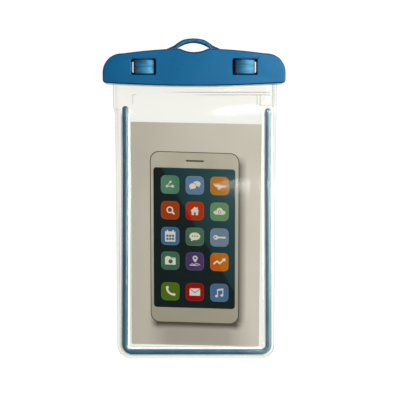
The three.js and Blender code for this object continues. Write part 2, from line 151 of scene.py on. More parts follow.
def swept(name, rings, mark, values):
    """Skin over a row of closed rings of points, capped at both ends, with a marked value at each point."""
    mesh = bmesh.new()
    rings = [[mesh.verts.new(point) for point in ring] for ring in rings]
    for first, second in zip(rings, rings[1:]):
        for corner in range(len(first)):
            after = (corner + 1) % len(first)
            mesh.faces.new((first[corner], first[after], second[after], second[corner]))
    mesh.faces.new(rings[0][::-1])
    mesh.faces.new(rings[-1])
    bmesh.ops.recalc_face_normals(mesh, faces=mesh.faces)
    data = bpy.data.meshes.new(name)
    mesh.to_mesh(data)
    mesh.free()
    data.attributes.new(mark, "FLOAT", "POINT").data.foreach_set("value", values)
    piece = bring_in(name, data)
    pick(piece)
    bpy.ops.object.shade_smooth_by_angle(angle=math.radians(60))
    return piece


# Materials


class Nodes:
    """A material's node tree, with short calls for the nodes that the finishes use."""

    def __init__(self, name):
        self.material = bpy.data.materials.new(name)
        self.material.use_nodes = True
        self.tree = self.material.node_tree
        self.tree.nodes.clear()
        self.output = self.add("ShaderNodeOutputMaterial")

    def add(self, kind, **settings):
        node = self.tree.nodes.new(kind)
        for key, value in settings.items():
            setattr(node, key, value)
        return node

    def link(self, source, target):
        self.tree.links.new(source, target)

    def place(self):
        return self.add("ShaderNodeTexCoord").outputs["Object"]

    def grain(self, scale, detail=2.0, roughness=0.5, stretch=None):
        """Noise over the piece's own place; stretch scales X, Y and Z."""
        texture = self.add("ShaderNodeTexNoise")
        texture.inputs["Scale"].default_value = scale
        texture.inputs["Detail"].default_value = detail
        texture.inputs["Roughness"].default_value = roughness
        source = self.place()
        if stretch:
            mapping = self.add("ShaderNodeMapping")
            mapping.inputs["Scale"].default_value = stretch
            self.link(source, mapping.inputs["Vector"])
            source = mapping.outputs["Vector"]
        self.link(source, texture.inputs["Vector"])
        return texture.outputs["Fac"]

    def cloud(self, scale, detail=3.0):
        """Soft patches from 0 to 1."""
        return self.spread(self.grain(scale, detail), 0.35, 0.65)

    def spread(self, value, low, high, out_low=0.0, out_high=1.0):
        """The value, carried from the span low to high over to another span, and held at its ends."""
        node = self.add("ShaderNodeMapRange")
        for key, number in (("From Min", low), ("From Max", high), ("To Min", out_low), ("To Max", out_high)):
            node.inputs[key].default_value = number
        self.link(value, node.inputs["Value"])
        return node.outputs["Result"]

    def scaled(self, share, low, high):
        """A share from 0 to 1, carried over to the span low to high."""
        return self.spread(share, 0.0, 1.0, low, high)

    def within(self, value, rise, fall):
        """1 between two slopes: the value climbs over the first span and drops over the second."""
        return self.product(self.spread(value, *rise), self.spread(value, *fall, 1.0, 0.0))

    def mix(self, factor, first, second):
        node = self.add("ShaderNodeMix", data_type="RGBA")
        for socket, value in ((node.inputs[0], factor), (node.inputs[6], first), (node.inputs[7], second)):
            self.set(socket, value)
        return node.outputs[2]

    def attribute(self, name):
        return self.add("ShaderNodeAttribute", attribute_name=name).outputs["Fac"]

    def bump(self, height, strength, distance):
        node = self.add("ShaderNodeBump")
        node.inputs["Strength"].default_value = strength
        node.inputs["Distance"].default_value = distance
        self.link(height, node.inputs["Height"])
        return node.outputs["Normal"]

    def surface(self, colour, roughness, normal=None, **values):
        shader = self.add("ShaderNodeBsdfPrincipled")
        self.set(shader.inputs["Base Color"], colour)
        self.set(shader.inputs["Roughness"], roughness)
        if normal:
            self.link(normal, shader.inputs["Normal"])
        for key, value in values.items():
            self.set(shader.inputs[key.replace("_", " ")], value)
        return shader.outputs[0]

    def pair(self, operation, first, second, clamp=False):
        node = self.add("ShaderNodeMath", operation=operation, use_clamp=clamp)
        self.link(first, node.inputs[0])
        self.link(second, node.inputs[1])
        return node.outputs[0]

    def total(self, first, second):
        return self.pair("ADD", first, second, True)

    def product(self, first, second):
        return self.pair("MULTIPLY", first, second)

    def larger(self, first, second):
        return self.pair("MAXIMUM", first, second)

    def slanted(self, value, slope, base):
        """The value times a slope, on top of a base."""
        node = self.add("ShaderNodeMath", operation="MULTIPLY_ADD")
        node.inputs[1].default_value = slope
        self.link(value, node.inputs[0])
        self.link(base, node.inputs[2])
        return node.outputs[0]

    def parts(self):
        """The piece's own place, as X, Y and Z."""
        node = self.add("ShaderNodeSeparateXYZ")
        self.link(self.place(), node.inputs[0])
        return node.outputs

    def between(self, factor, first, second):
        node = self.add("ShaderNodeMixShader")
        for socket, source in zip(node.inputs, (factor, first, second)):
            self.link(source, socket)
        return node.outputs[0]

    def set(self, socket, value):
        if isinstance(value, (tuple, float)):
            socket.default_value = value
        else:
            self.link(value, socket)

    def done(self, surface):
        """Joins the surface to the material's output."""
        self.link(surface, self.output.inputs["Surface"])
        return self.material

    def finish(self, *looks, **values):
        return self.done(self.surface(*looks, **values))

    def paper(self, colour, roughness=0.7):
        """Matt printed paper."""
        normal = self.bump(self.grain(1400.0, 3.0, 0.6), 0.15, 0.00005)
        return self.finish(colour, roughness, normal, Specular_IOR_Level=0.08)


def rgb(red, green, blue):
    """Scene colour from the 0 to 255 numbers of a screen colour."""
    def linear(value):
        value /= 255
        return value / 12.92 if value <= 0.04045 else ((value + 0.055) / 1.055) ** 2.4

    return (linear(red), linear(green), linear(blue), 1.0)


# The hollow in the front jaw's upper edge, under the loop's eye, is an arc: its middle and its radius.
HOLLOW_Y = HINGE_Y + 0.01992
HOLLOW_RADIUS = 0.01952


def clip_plastic():
    """Satin blue plastic of the jaws, with painted shade that darkens it towards the left and along the
    hollow under the loop's eye.
    """
    nodes = Nodes("clip_blue_plastic")
    cloud = nodes.cloud(28.0)
    # Painted shade: the jaws go from darker on the left to lighter on the right, as lit from the right.
    across = nodes.spread(nodes.parts()[0], -0.06, 0.06)
    first = nodes.mix(across, rgb(3, 82, 124), rgb(20, 102, 147))
    second = nodes.mix(across, rgb(8, 88, 131), rgb(28, 108, 153))
    colour = nodes.mix(cloud, first, second)
    x, y, _ = nodes.parts()
    # Painted shade: a dark line along the hollow in the front jaw's upper edge, under the loop's eye.
    drop = nodes.spread(y, HOLLOW_Y - 1.0, HOLLOW_Y + 1.0, -1.0, 1.0)
    away = nodes.total(nodes.product(x, x), nodes.product(drop, drop))
    hollow_shade = nodes.spread(away, (HOLLOW_RADIUS + 0.0005) ** 2, (HOLLOW_RADIUS + 0.0010) ** 2, 1.0, 0.0)
    colour = nodes.mix(hollow_shade, colour, rgb(3, 50, 84))
    fine = nodes.grain(2600.0, 2.0)
    roughness = nodes.spread(nodes.grain(60.0, 2.0), 0.3, 0.7, 0.26, 0.34)
    normal = nodes.bump(fine, 0.12, 0.00005)
    return nodes.finish(colour, roughness, normal, Specular_IOR_Level=0.22)


def moulded_plastic(name, scale, first, second, roughness, gloss):
    """Plastic between two tones, in soft patches."""
    nodes = Nodes(name)
    cloud = nodes.cloud(scale)
    colour = nodes.mix(cloud, rgb(*first), rgb(*second))
    return nodes.finish(colour, nodes.scaled(cloud, *roughness), Specular_IOR_Level=gloss)


def loop_plastic():
    nodes = Nodes("loop_blue_plastic")
    cloud = nodes.cloud(420.0)
    colour = nodes.mix(cloud, rgb(12, 84, 124), rgb(40, 118, 160))
    # Painted shade: the bar darkens at its outer and inner edges, as a lit rounded bar does.
    side = nodes.spread(nodes.attribute("side"), 0.35, 0.75)
    colour = nodes.mix(side, colour, rgb(3, 40, 66))
    normal = nodes.bump(cloud, 0.2, 0.0001)
    return nodes.finish(colour, 0.3, normal, Specular_IOR_Level=0.3)


def hook_plastic():
    """Polished hook heads, with streaks of painted highlight and painted shade that darkens their left ends.
    """
    nodes = Nodes("hook_polished_plastic")
    # The streaks lighten the colour as painted highlights and also drive the bump.
    streaks = nodes.grain(240.0, 4.0, 0.6, (0.22, 1.6, 1.0))
    tone = nodes.spread(streaks, 0.38, 0.64)
    across = nodes.parts()[0]
    # Painted light: each head is dark at its left end and bright towards its right, as lit from the right.
    left_head = nodes.within(across, (-0.0395, -0.0285), (-0.001, 0.001))
    lit = nodes.total(left_head, nodes.spread(across, 0.0265, 0.0375))
    dull = nodes.mix(tone, rgb(2, 36, 56), rgb(10, 58, 84))
    bright = nodes.mix(tone, rgb(40, 118, 154), rgb(78, 160, 198))
    colour = nodes.mix(lit, dull, bright)
    normal = nodes.bump(streaks, 0.35, 0.0003)
    return nodes.finish(colour, 0.26, normal, Specular_IOR_Level=0.2)


def clear_film():
    nodes = Nodes("clear_film")
    weld = nodes.attribute("weld")
    crease = nodes.attribute("crease")
    waves = nodes.grain(38.0, 3.0, 0.5, (1.0, 0.4, 1.0))
    normal = nodes.bump(waves, 0.08, 0.0008)
    tint = nodes.mix(crease, rgb(252, 252, 250), rgb(208, 208, 205))
    # Beside the piping the film is milky white and rougher: partly the weld itself, partly a painted
    # highlight in place of the glare there.
    gloss_colour = nodes.mix(weld, rgb(252, 252, 248), rgb(254, 254, 253))
    gloss = nodes.surface(
        gloss_colour,
        nodes.scaled(weld, 0.09, 0.5),
        normal,
        Metallic=nodes.scaled(weld, 1.0, 0.0),
    )
    clear = nodes.add("ShaderNodeBsdfTransparent")
    nodes.link(tint, clear.inputs["Color"])
    edge = nodes.add("ShaderNodeFresnel")
    side = nodes.add("ShaderNodeNewGeometry").outputs["Backfacing"]
    nodes.link(nodes.scaled(side, FILM_IOR, 1 / FILM_IOR), edge.inputs["IOR"])
    nodes.link(normal, edge.inputs["Normal"])
    haze = nodes.scaled(weld, 0.005, 0.62)
    total = nodes.total(edge.outputs[0], haze)
    mixed = nodes.between(total, clear.outputs[0], gloss)
    open_shadow = nodes.add("ShaderNodeBsdfTransparent")
    path = nodes.add("ShaderNodeLightPath")
    return nodes.done(nodes.between(path.outputs["Is Shadow Ray"], mixed, open_shadow.outputs[0]))


def piping_plastic():
    nodes = Nodes("piping_blue_plastic")
    cloud = nodes.cloud(90.0)
    colour = nodes.mix(cloud, rgb(46, 94, 118), rgb(56, 106, 130))
    # Painted glare: the right run is lighter than the left, and its right flank is paler still with a painted
    # highlight, as lit from the right.
    right_run_glare = nodes.spread(nodes.parts()[0], 0.03, 0.045)
    colour = nodes.mix(right_run_glare, colour, nodes.mix(cloud, rgb(84, 122, 138), rgb(98, 134, 148)))
    flank = nodes.product(right_run_glare, nodes.spread(nodes.attribute("flank"), -0.1, 0.8))
    colour = nodes.mix(flank, colour, rgb(132, 158, 174))
    normal = nodes.bump(nodes.grain(900.0, 2.0), 0.15, 0.0001)
    return nodes.finish(colour, 0.2, normal, Specular_IOR_Level=1.0)


def seal_rubber():
    nodes = Nodes("seal_grey_rubber")
    colour = nodes.mix(nodes.grain(300.0), rgb(92, 97, 101), rgb(112, 116, 120))
    normal = nodes.bump(nodes.grain(1500.0), 0.3, 0.0001)
    return nodes.finish(colour, 0.75, normal)


def pin_steel():
    nodes = Nodes("pin_steel")
    lines = nodes.grain(900.0, 2.0, 0.5, (0.05, 1.0, 1.0))
    colour = nodes.mix(lines, rgb(172, 175, 178), rgb(200, 202, 204))
    return nodes.finish(colour, 0.32, nodes.bump(lines, 0.2, 0.00005), Metallic=1.0)


def beyond_slant(nodes):
    """How far a place of the print lies up and right of the slanting edge across the screen."""
    across, up, _ = nodes.parts()
    return nodes.slanted(up, 0.585, across)


def printed_ink(name, first, second, split=False):
    """Matt ink between two tones, cloudy or split along the slanting edge."""
    nodes = Nodes(name)
    if split:
        tone = nodes.spread(beyond_slant(nodes), -0.0098, -0.0084)
    else:
        tone = nodes.cloud(45.0, 2.0)
    colour = nodes.mix(tone, first, second)
    return nodes.paper(colour)


def screen_ink():
    """Dark printed screen with a lighter teal field up and right of a slanting edge."""
    nodes = Nodes("print_screen")
    slant = beyond_slant(nodes)
    teal = nodes.mix(nodes.spread(slant, -0.009, 0.035), rgb(14, 46, 50), rgb(32, 66, 72))
    colour = nodes.mix(nodes.spread(slant, -0.0098, -0.0084), rgb(4, 22, 23), teal)
    normal = nodes.bump(nodes.grain(1400.0), 0.1, 0.00005)
    return nodes.finish(colour, 0.6, normal, Specular_IOR_Level=0.08)


def case_ink():
    """Pale printed case of the phone, darker towards its foot."""
    nodes = Nodes("print_case")
    up = nodes.parts()[1]
    low = nodes.spread(up, -0.084, 0.0, 1.0, 0.0)
    cloud = nodes.cloud(45.0, 2.0)
    pale = nodes.mix(cloud, rgb(176, 170, 157), rgb(168, 162, 148))
    colour = nodes.mix(low, pale, rgb(149, 143, 128))
    return nodes.paper(colour)


def card_paper():
    """Card stock, darker to the left with painted shade, and with the soft shade printed right of the phone
    and below it.
    """
    nodes = Nodes("card_paper")
    cloud = nodes.cloud(22.0, 2.0)
    across, up, _ = nodes.parts()
    fresh = nodes.mix(cloud, rgb(195, 190, 180), rgb(189, 184, 173))
    # Painted shade: the card darkens towards its left side, away from the light.
    paper = nodes.mix(nodes.spread(across, -0.045, 0.012, 0.45, 0.0), fresh, rgb(164, 157, 143))
    level = nodes.slanted(across, PRINT_SLOPE, up)
    right = PRINT_CENTRE.x + PHONE_WIDTH / 2
    left = PRINT_CENTRE.x - PHONE_WIDTH / 2
    top = PRINT_CENTRE.y + PHONE_HEIGHT / 2
    bottom = PRINT_CENTRE.y - PHONE_HEIGHT / 2
    beside = nodes.product(
        nodes.within(level, (bottom - 0.0045, bottom + 0.002), (top - 0.0085, top - 0.0015)),
        nodes.within(across, (left + 0.01, left + 0.02), (right - 0.0003, right + 0.0054)),
    )
    beside = nodes.scaled(beside, 0.0, 0.86)
    below = nodes.spread(level, bottom + 0.002, bottom + 0.01, 1.0, 0.0)
    under = nodes.within(across, (left - 0.001, left + 0.0045), (right - 0.002, right + 0.0042))
    under = nodes.product(under, nodes.spread(level, bottom - 0.0062, bottom - 0.0010, 0.0, 0.94))
    under = nodes.product(under, below)
    wide = nodes.within(across, (left - 0.004, left + 0.012), (right - 0.008, right + 0.01))
    wide = nodes.product(wide, nodes.spread(level, bottom - 0.028, bottom - 0.012, 0.12, 0.38))
    wide = nodes.product(wide, below)
    shade = nodes.larger(nodes.larger(beside, under), wide)
    colour = nodes.mix(shade, paper, rgb(62, 54, 40))
    return nodes.paper(colour, 0.75)


# The shape of the bag


def middle(y):
    return blend(BAG_MIDDLE_Z, CLIP_MIDDLE_Z, smooth(y, RISE_START, RISE_END))


def piping_half(y):
    part = min(max((PIPING_LEFT_TOP - y) / (PIPING_LEFT_TOP - PIPING_BOTTOM), 0.0), 1.0)
    return blend(PIPING_TOP_HALF, PIPING_BOTTOM_HALF, part)


def piping_distance(x, y):
    """Distance from the piping's centre line seen from above, and whether the point is inside its U."""
    top = PIPING_LEFT_TOP if x < PIPING_CENTRE else PIPING_RIGHT_TOP
    bend_y = PIPING_BOTTOM + PIPING_BEND
    across = abs(x - PIPING_CENTRE)
    bend_x = PIPING_BOTTOM_HALF - PIPING_BEND
    inside = across < piping_half(y) and y > PIPING_BOTTOM
    if y > bend_y:
        away = min(math.hypot(across - piping_half(y), max(y - top, 0.0)), y - PIPING_BOTTOM)
    elif across < bend_x:
        away = abs(y - PIPING_BOTTOM)
    else:
        away = abs(math.hypot(across - bend_x, y - bend_y) - PIPING_BEND)
    return away, inside


def space_between(x, y):
    """Half the space between the films: the pocket that holds the card, or the ridge over the piping."""
    away = piping_distance(x, y)[0]
    ridge = (PIPING_HEIGHT / 2 + PIPING_ROOM) * (1 - smooth(away, 0.33 * PIPING_WIDTH, 0.8 * PIPING_WIDTH))
    across = abs(x - PIPING_CENTRE)
    within = min(piping_half(y) - across, y - PIPING_BOTTOM)
    neck = NECK_HALF - 0.0026 - abs(x - NECK_CENTRE)
    side = blend(within, neck, smooth(y, SHOULDER, WELD_LINE))
    pocket = POCKET_HALF * smooth(side, 0.0, 0.005)
    opening = pocket * (1 - smooth(y, WELD_LINE + 0.001, HINGE_Y - 0.0194))
    return max(WELD_GAP_HALF + opening, ridge)


def film_edge(y, side):
    """X of the film's edge at a height, on the left (-1) or on the right (1)."""
    body = BAG_CENTRE + side * BAG_HALF
    if y < BAG_BOTTOM + BAG_CORNER:
        depth = BAG_BOTTOM + BAG_CORNER - y
        return body - side * (BAG_CORNER - math.sqrt(max(BAG_CORNER ** 2 - depth ** 2, 0.0)))
    return blend(body, NECK_CENTRE + side * NECK_HALF, smooth(y, SHOULDER - 0.002, SHOULDER + 0.002))


def stops(low, high, coarse, fine_places):
    """Numbers from low to high, a coarse step apart, and closer near each fine place (place, reach, step)."""
    found = [low]
    while found[-1] < high - 1e-9:
        here = found[-1]
        step = coarse
        for place, reach, fine in fine_places:
            if abs(here - place) < reach:
                step = min(step, fine)
            elif here < place - reach:
                step = min(step, max(place - reach - here, fine))
        found.append(min(here + step, high))
    return found


def film_columns():
    """Stops across the sheet, closer together along the piping and the welding tool's upright marks."""
    side = PIPING_BOTTOM_HALF
    places = [(-side, 0.0055, 0.0004), (side, 0.0055, 0.0004)]
    places += [(-0.0525, 0.0016, 0.0003), (0.0525, 0.0016, 0.0003)]
    for mark in UPRIGHT_MARKS:
        column = (mark[0] - PIPING_CENTRE) * PIPING_BOTTOM_HALF / PIPING_TOP_HALF
        places.append((column, 0.001, 0.0003))
    return stops(-SHEET_HALF, SHEET_HALF, 0.0018, places)


def film_rows():
    """Stops up the sheet, closer together at the piping's ends, the welding tool's marks and the hooks."""
    places = [
        (PIPING_BOTTOM, 0.0055, 0.0004),
        (PIPING_RIGHT_TOP + 0.0013, 0.0045, 0.0005),
        (WELD_LINE - 0.0067, 0.0015, 0.0004),
        (WELD_LINE - 0.0002, 0.0019, 0.00025),
        (HINGE_Y - 0.009, 0.0068, 0.0006),
    ]
    return stops(BAG_BOTTOM, FLANGE_TOP, 0.002, places)


# Marks of the welding tool in the neck: the place of each line, its two ends, and how plain it is.
# Heights are measured from the weld line.
LEVEL_MARKS = [
    (0.0006, -0.024, 0.0505, 1.0),
    (-0.0011, -0.006, 0.0505, 0.8),
    (-0.0011, -0.0407, -0.0384, 0.5),
    (-0.0080, 0.0437, 0.0522, 0.6),
]
UPRIGHT_MARKS = [
    (0.0417, -0.0080, -0.0011, 0.8),
    (0.0438, -0.0080, -0.0011, 0.8),
    (0.0521, -0.0093, 0.0077, 0.8),
    (-0.0407, -0.0068, -0.0011, 0.7),
    (-0.0384, -0.0083, -0.0011, 0.7),
    (-0.0511, -0.0103, 0.0077, 0.6),
]
MARK_HALF = 0.0004
EDGE_MARK = 0.0019


def crease_at(x, y):
    """How strongly the marks of the welding tool and the film's own edge show at a place, from 0 to 1."""
    mark = 0.0
    rise = y - WELD_LINE
    for line, low, high, strength in LEVEL_MARKS:
        if low < x < high:
            fade = smooth(x, low, low + 0.4 * (high - low)) if high - low > 0.03 else 1.0
            mark = max(mark, strength * fade * (1 - abs(rise - line) / MARK_HALF))
    for line, low, high, strength in UPRIGHT_MARKS:
        if low < rise < high:
            mark = max(mark, strength * (1 - abs(x - line) / MARK_HALF))
    margin = min(x - film_edge(y, -1), film_edge(y, 1) - x)
    line = 0.4 * (1 - abs(margin - EDGE_MARK) / MARK_HALF)
    return max(mark, line, 0.5 * (1 - margin / 0.0005))


def weld_and_glare_at(away, inside, y):
    """How milky white the film is beside the piping, where it is welded down: partly the weld itself, partly
    a painted highlight.
    """
    full = 1 - smooth(y, PIPING_LEFT_TOP - 0.007, PIPING_LEFT_TOP)
    fade = (0.0030, 0.0038) if inside else (0.0025, 0.0031)
    return full * smooth(away, 0.0020, 0.0023) * (1 - smooth(away, *fade))


def swell_at(x, y, layer):
    """How far the film stands off over the card, which it does neither at the piping nor in the neck."""
    away, inside = piping_distance(x, y)
    if not inside:
        return 0.0
    free = smooth(away, 0.004, 0.014) * (1 - smooth(y, *SWELL_FADE))
    return SWELL * free * (0.5 + noise.noise(Vector((x * 22, y * 13, layer))))


def film_place(column, y):
    """Where a stop across the sheet falls at this height: with the piping inside, with the edge outside."""
    low, high = film_edge(y, -1), film_edge(y, 1)
    along = PIPING_CENTRE + column * piping_half(y) / PIPING_BOTTOM_HALF
    ends = blend(low, high, (column / SHEET_HALF + 1) / 2)
    x = blend(along, ends, smooth(abs(column), SHEET_HALF - 0.0013, SHEET_HALF))
    return min(max(x, low), high)


def film_sheet(name, front):
    """One film: a grid laid over the piping and the card, opened for the hooks and given its thickness."""
    columns, rows = film_columns(), film_rows()
    deselect()
    bpy.ops.mesh.primitive_grid_add(x_subdivisions=len(columns) - 1, y_subdivisions=len(rows) - 1, size=2)
    piece = bpy.context.object
    weld = piece.data.attributes.new("weld", "FLOAT", "POINT")
    crease = piece.data.attributes.new("crease", "FLOAT", "POINT")
    for vertex in piece.data.vertices:
        column = columns[round((vertex.co.x + 1) / 2 * (len(columns) - 1))]
        y = rows[round((vertex.co.y + 1) / 2 * (len(rows) - 1))]
        x = film_place(column, y)
        swell = swell_at(x, y, 3.0 if front else 9.0)
        mark = max(crease_at(x, y), 0.0)
        if front:
            z = middle(y) + space_between(x, y) + FILM / 2 + swell + 0.0001 * mark
        else:
            z = middle(y) - space_between(x, y) - FILM / 2 - min(swell, SWELL / 2)
        vertex.co = (x, y, z)
        # The milky band beside the piping is partly weld and partly a painted highlight.
        weld.data[vertex.index].value = weld_and_glare_at(*piping_distance(x, y), y)
        crease.data[vertex.index].value = mark if front else 0.0
    edit(piece, "DESELECT")
    mesh = bmesh.from_edit_mesh(piece.data)
    for face in mesh.faces:
        face.select = in_reach(face.calc_center_median(), FILM_OPENINGS)
    bmesh.update_edit_mesh(piece.data)
    bpy.ops.mesh.delete(type="FACE")
    bpy.ops.object.mode_set(mode="OBJECT")
    wall = piece.modifiers.new("wall", "SOLIDIFY")
    wall.thickness = FILM
    wall.offset = 0
    finish_modifiers(piece)
    bpy.ops.object.shade_smooth_by_angle(angle=math.radians(50))
    return settle(piece, name)


RUN_STEPS = 56
BEND_STEPS = 14
ROD_CORNERS = 20
LEVEL_HALF = 0.043
END_TURNS = (0.25, 0.6, 0.95, 1.3)


def piping_rod():
    """Rod with an oval section, swept down the left run, round the bends and up the right run."""
    bend_y = PIPING_BOTTOM + PIPING_BEND
    bend_x = PIPING_BOTTOM_HALF - PIPING_BEND

    def run(side, top):
        places = [blend(top, bend_y, step / RUN_STEPS) for step in range(RUN_STEPS)]
        return [Vector((PIPING_CENTRE + side * piping_half(y), y, middle(y))) for y in places]

    def bend(side):
        turns = [step / BEND_STEPS * math.pi / 2 for step in range(BEND_STEPS + 1)]
        return [
            Vector((
                PIPING_CENTRE + side * (bend_x + PIPING_BEND * math.cos(turn)),
                bend_y - PIPING_BEND * math.sin(turn),
                middle(bend_y),
            ))
            for turn in turns
        ]

    level = stops(-LEVEL_HALF, LEVEL_HALF, 0.004, [])
    bottom = [Vector((PIPING_CENTRE + x, PIPING_BOTTOM, middle(bend_y))) for x in level]
    stations = run(-1, PIPING_LEFT_TOP) + bend(-1) + bottom + bend(1)[::-1] + run(1, PIPING_RIGHT_TOP)[::-1]
    rings = []
    flanks = []
    last = len(stations) - 1
    for index, here in enumerate(stations):
        ahead = stations[min(index + 1, last)] - stations[max(index - 1, 0)]
        ahead.normalize()
        side = Vector((ahead.y, -ahead.x, 0)).normalized()
        up = side.cross(ahead)
        sizes = [(0.0, 1.0)]
        if index in (0, last):
            steps = [(-math.cos(a), math.sin(a)) for a in END_TURNS]
            sizes = steps + [(0.0, 1.0)] if index == 0 else [(0.0, 1.0)] + [(-b, s) for b, s in steps[::-1]]
        for shift, size in sizes:
            centre = here + ahead * shift * PIPING_WIDTH / 2
            ring = []
            for corner in range(ROD_CORNERS):
                turn = math.tau * corner / ROD_CORNERS
                out = side * math.cos(turn) * PIPING_WIDTH / 2 + up * math.sin(turn) * PIPING_HEIGHT / 2
                ring.append(centre + out * size)
                flanks.append(out.x / (PIPING_WIDTH / 2))
            rings.append(ring)
    # The flank value runs from -1 on the rod's left side to 1 on its right, where piping_plastic paints a
    # highlight.
    return swept("piping_rod", rings, "flank", flanks)


# The insert card and its print

CARD_CENTRE = Vector((0.00095, -0.02345, 0))
CARD_WIDTH = 0.0874
CARD_HEIGHT = 0.1517
CARD_TURN = math.radians(-0.3)
CARD_SLOPE = 0.0157
CARD_THICKNESS = 0.0005

PRINT_CENTRE = Vector((0.00025, -0.02543, 0))
PRINT_SLOPE = 0.0297
PHONE_WIDTH = 0.0602
PHONE_HEIGHT = 0.1169
PHONE_RIM = 0.0010
SCREEN_WIDTH = 0.0553
SCREEN_HEIGHT = 0.0955
INK = 0.00003
TILE = 0.0124
TILE_COLUMNS = (-0.0166, 0.0001, 0.0168)
TILE_ROWS = (0.0361, 0.01865, 0.0011, -0.01575, -0.0369)
TILE_INKS = (
    ("green", "slate", "amber"),
    ("rust", "red", "leaf"),
    ("blue", "sage", "steel"),
    ("teal", "purple", "orange"),
    ("lime", "crimson", "sky"),
)


def turn_on_card(piece):
    """Turns a flat piece, drawn about the card's middle, onto the card and follows the card's curve."""
    for vertex in piece.data.vertices:
        x, y, z = vertex.co
        place = Vector((
            x * math.cos(CARD_TURN) - y * math.sin(CARD_TURN),
            x * math.sin(CARD_TURN) + y * math.cos(CARD_TURN) - CARD_SLOPE * x,
            0,
        )) + CARD_CENTRE
        vertex.co = (place.x, place.y, middle(place.y) + z)


def lay_print(piece, level):
    """Lays a flat piece, drawn about the print's middle, on the card at an ink level."""
    lift = CARD_THICKNESS / 2 + INK / 2 + level * INK
    for vertex in piece.data.vertices:
        x, y, z = vertex.co
        place = PRINT_CENTRE + Vector((x, y - PRINT_SLOPE * x, 0))
        vertex.co = (place.x, place.y, middle(place.y) + z + lift)


def rounded_plate(name, x, y, width, height, radius, thickness, cuts=0):
    """Flat plate about (x, y): a cube with rounded upright edges, cut across so that it can bend."""
    deselect()
    bpy.ops.mesh.primitive_cube_add(size=1, location=(x, y, 0), scale=(width, height, thickness))
    piece = bpy.context.object
    edit(settle(piece, name), "DESELECT")
    bpy.ops.mesh.select_mode(type="EDGE")
    mesh = bmesh.from_edit_mesh(piece.data)
    for edge in mesh.edges:
        low, high = edge.verts
        edge.select = abs(low.co.z - high.co.z) > thickness / 2
    bmesh.update_edit_mesh(piece.data)
    bpy.ops.mesh.bevel(offset=radius, segments=6, affect="EDGES")
    for step in range(1, cuts):
        bpy.ops.mesh.select_all(action="SELECT")
        place = y - height / 2 + height * step / cuts
        bpy.ops.mesh.bisect(plane_co=(0, place, 0), plane_no=(0, 1, 0))
    bpy.ops.object.mode_set(mode="OBJECT")
    return piece


def edge_band(piece, material):
    """Prints the outer band of a tile in a lighter ink of its own."""
    edit(piece, "DESELECT")
    bpy.ops.mesh.select_mode(type="FACE")
    mesh = bmesh.from_edit_mesh(piece.data)
    for face in mesh.faces:
        face.select = face.normal.z > 0.9
    bmesh.update_edit_mesh(piece.data)
    bpy.ops.mesh.inset(thickness=TILE / 35)
    bpy.ops.object.mode_set(mode="OBJECT")
    piece.data.materials.append(material)
    for face in piece.data.polygons:
        face.material_index = 0 if face.select else 1


class Sign:
    """A small sign on a tile, drawn in millimetres about the tile's middle from flat inked shapes."""

    def __init__(self, name, tile):
        self.name = name
        self.tile = tile
        self.shapes = []

    def shape(self, *points):
        """Each shape lies a hair above the last, so that no two share a face."""
        deselect()
        bpy.ops.mesh.primitive_circle_add(vertices=len(points), radius=1, fill_type="NGON")
        piece = bpy.context.object
        lift = len(self.shapes) * INK / 10
        for vertex, (x, y) in zip(piece.data.vertices, points):
            vertex.co = (self.tile[0] + x / 1000, self.tile[1] + y / 1000, lift)
        self.shapes.append(piece)

    def oval(self, x, y, half_width, half_height):
        turns = [math.tau * step / 24 for step in range(24)]
        self.shape(*((x + half_width * math.cos(turn), y + half_height * math.sin(turn)) for turn in turns))

    def bar(self, start, end, width):
        self.line(width, start, end)

    def line(self, width, *points):
        """One stroke through the points, mitred where it turns."""
        points = [Vector(point) for point in points]
        closed = (points[0] - points[-1]).length < 0.001
        left, right = [], []
        for index, here in enumerate(points):
            before = points[index - 1] if index else points[-2] if closed else None
            after = points[index + 1] if index < len(points) - 1 else points[1] if closed else None
            arrive = (here - before).normalized() if before else (after - here).normalized()
            leave = (after - here).normalized() if after else arrive
            side = Vector((-arrive.y - leave.y, arrive.x + leave.x)).normalized()
            reach = width / 2 / max(side.dot(Vector((-leave.y, leave.x))), 0.5)
            left.append(here + side * reach)
            right.append(here - side * reach)
        self.shape(*((point.x, point.y) for point in left + right[::-1]))

    def ring(self, x, y, radius, width):
        turns = [math.tau * step / 24 for step in range(25)]
        self.line(width, *((x + radius * math.cos(turn), y + radius * math.sin(turn)) for turn in turns))

    def inked(self, level, material):
        deselect()
        for piece in self.shapes:
            piece.select_set(True)
        bpy.context.view_layer.objects.active = self.shapes[0]
        if len(self.shapes) > 1:
            bpy.ops.object.join()
        piece = bpy.context.object
        edit(settle(piece, self.name), "SELECT")
        bpy.ops.mesh.normals_make_consistent(inside=False)
        bpy.ops.object.mode_set(mode="OBJECT")
        wall = piece.modifiers.new("ink", "SOLIDIFY")
        wall.thickness = INK
        wall.offset = 0
        finish_modifiers(piece)
        lay_print(piece, level)
        piece.data.materials.append(material)
        return piece


def draw_share(white, dark):
    white.line(0.55, (0.3, 1.9), (-2.1, -1.1), (1.7, -1.1))
    white.oval(0.3, 1.9, 0.75, 0.75)
    white.oval(-2.1, -1.1, 0.85, 0.85)
    white.oval(1.7, -1.1, 0.95, 0.95)


def draw_talk(white, dark):
    white.oval(1.4, 1.1, 2.6, 1.7)
    white.shape((1.4, 0.0), (3.4, -1.4), (3.2, 0.6))
    white.oval(-1.4, -0.6, 2.4, 1.9)
    white.shape((-3.2, -1.0), (-3.1, -3.0), (-1.2, -2.0))
    dark.line(0.3, (-0.9, 1.4), (0.6, 0.8), (1.1, -0.6), (0.8, -1.6))


